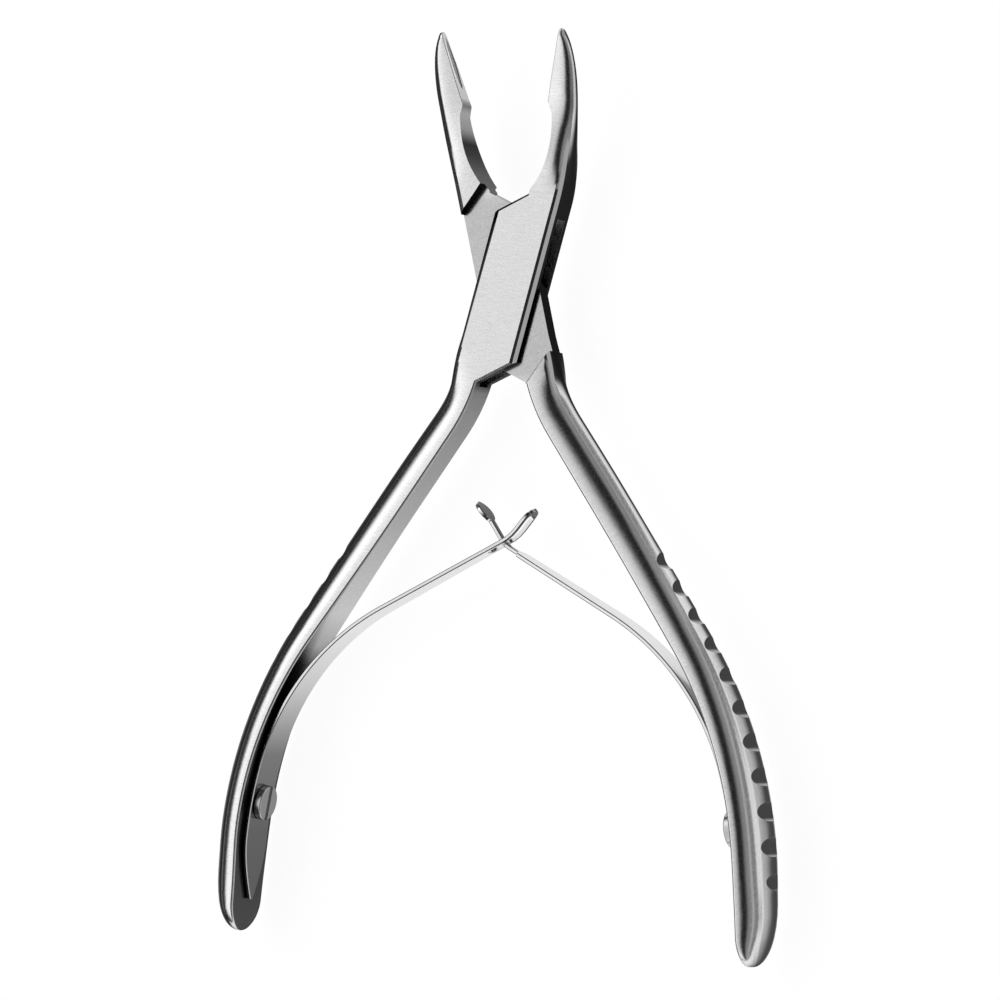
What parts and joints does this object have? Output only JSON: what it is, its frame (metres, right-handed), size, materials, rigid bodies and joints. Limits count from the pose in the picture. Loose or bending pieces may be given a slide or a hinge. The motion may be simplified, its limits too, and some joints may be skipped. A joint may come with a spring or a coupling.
{
  "type": "bone rongeur",
  "caption": "Box-lock bone rongeur with upturned cupped jaws, curved grips with finger grooves and crossed leaf springs that hold it open.",
  "frame": {"origin": "on the pivot axis, at the back flat of the box lock", "axes": "+Z along the pivot axis towards the front flat that the picture shows, +Y towards the jaw tips along the middle line between the arms, +X towards the handle of the tongue arm"},
  "size_m": [0.091, 0.1377, 0.0132],
  "materials": {
    "satin_steel": "satin brushed",
    "pin_steel": "satin, ground flush with the lock",
    "spring_steel": "fine brushed",
    "screw_steel": "turned"
  },
  "bodies": {
    "box_side": {"box_arm": "satin_steel", "joint_pin": "pin_steel", "left_spring_screw": "screw_steel"},
    "tongue_side": {"tongue_arm": "satin_steel", "right_spring_screw": "screw_steel"},
    "left_leaf": {"slotted_spring": "spring_steel"},
    "right_leaf": {"paddle_spring": "spring_steel"}
  },
  "joints": [
    {"name": "lock_hinge", "type": "hinge", "parent": "box_side", "child": "tongue_side", "pos_m": [0, 0, 0.003], "axis": [0, 0, -1], "range_deg": [0, 28.4], "stiffness_Nm_per_rad": 2.4},
    {"name": "left_leaf_flex", "type": "hinge", "parent": "box_side", "child": "left_leaf", "pos_m": [-0.036, -0.066, 0.003], "axis": [0, 0, 1], "range_deg": [0, 14.5], "deforming": ["slotted_spring"]},
    {"name": "right_leaf_flex", "type": "hinge", "parent": "tongue_side", "child": "right_leaf", "pos_m": [0.036, -0.066, 0.003], "axis": [0, 0, -1], "range_deg": [0, 14.5], "deforming": ["paddle_spring"]}
  ],
  "couplings": [
    {"joint": "left_leaf_flex", "follows": "lock_hinge", "ratio": 0.506},
    {"joint": "right_leaf_flex", "follows": "lock_hinge", "ratio": 0.506}
  ]
}
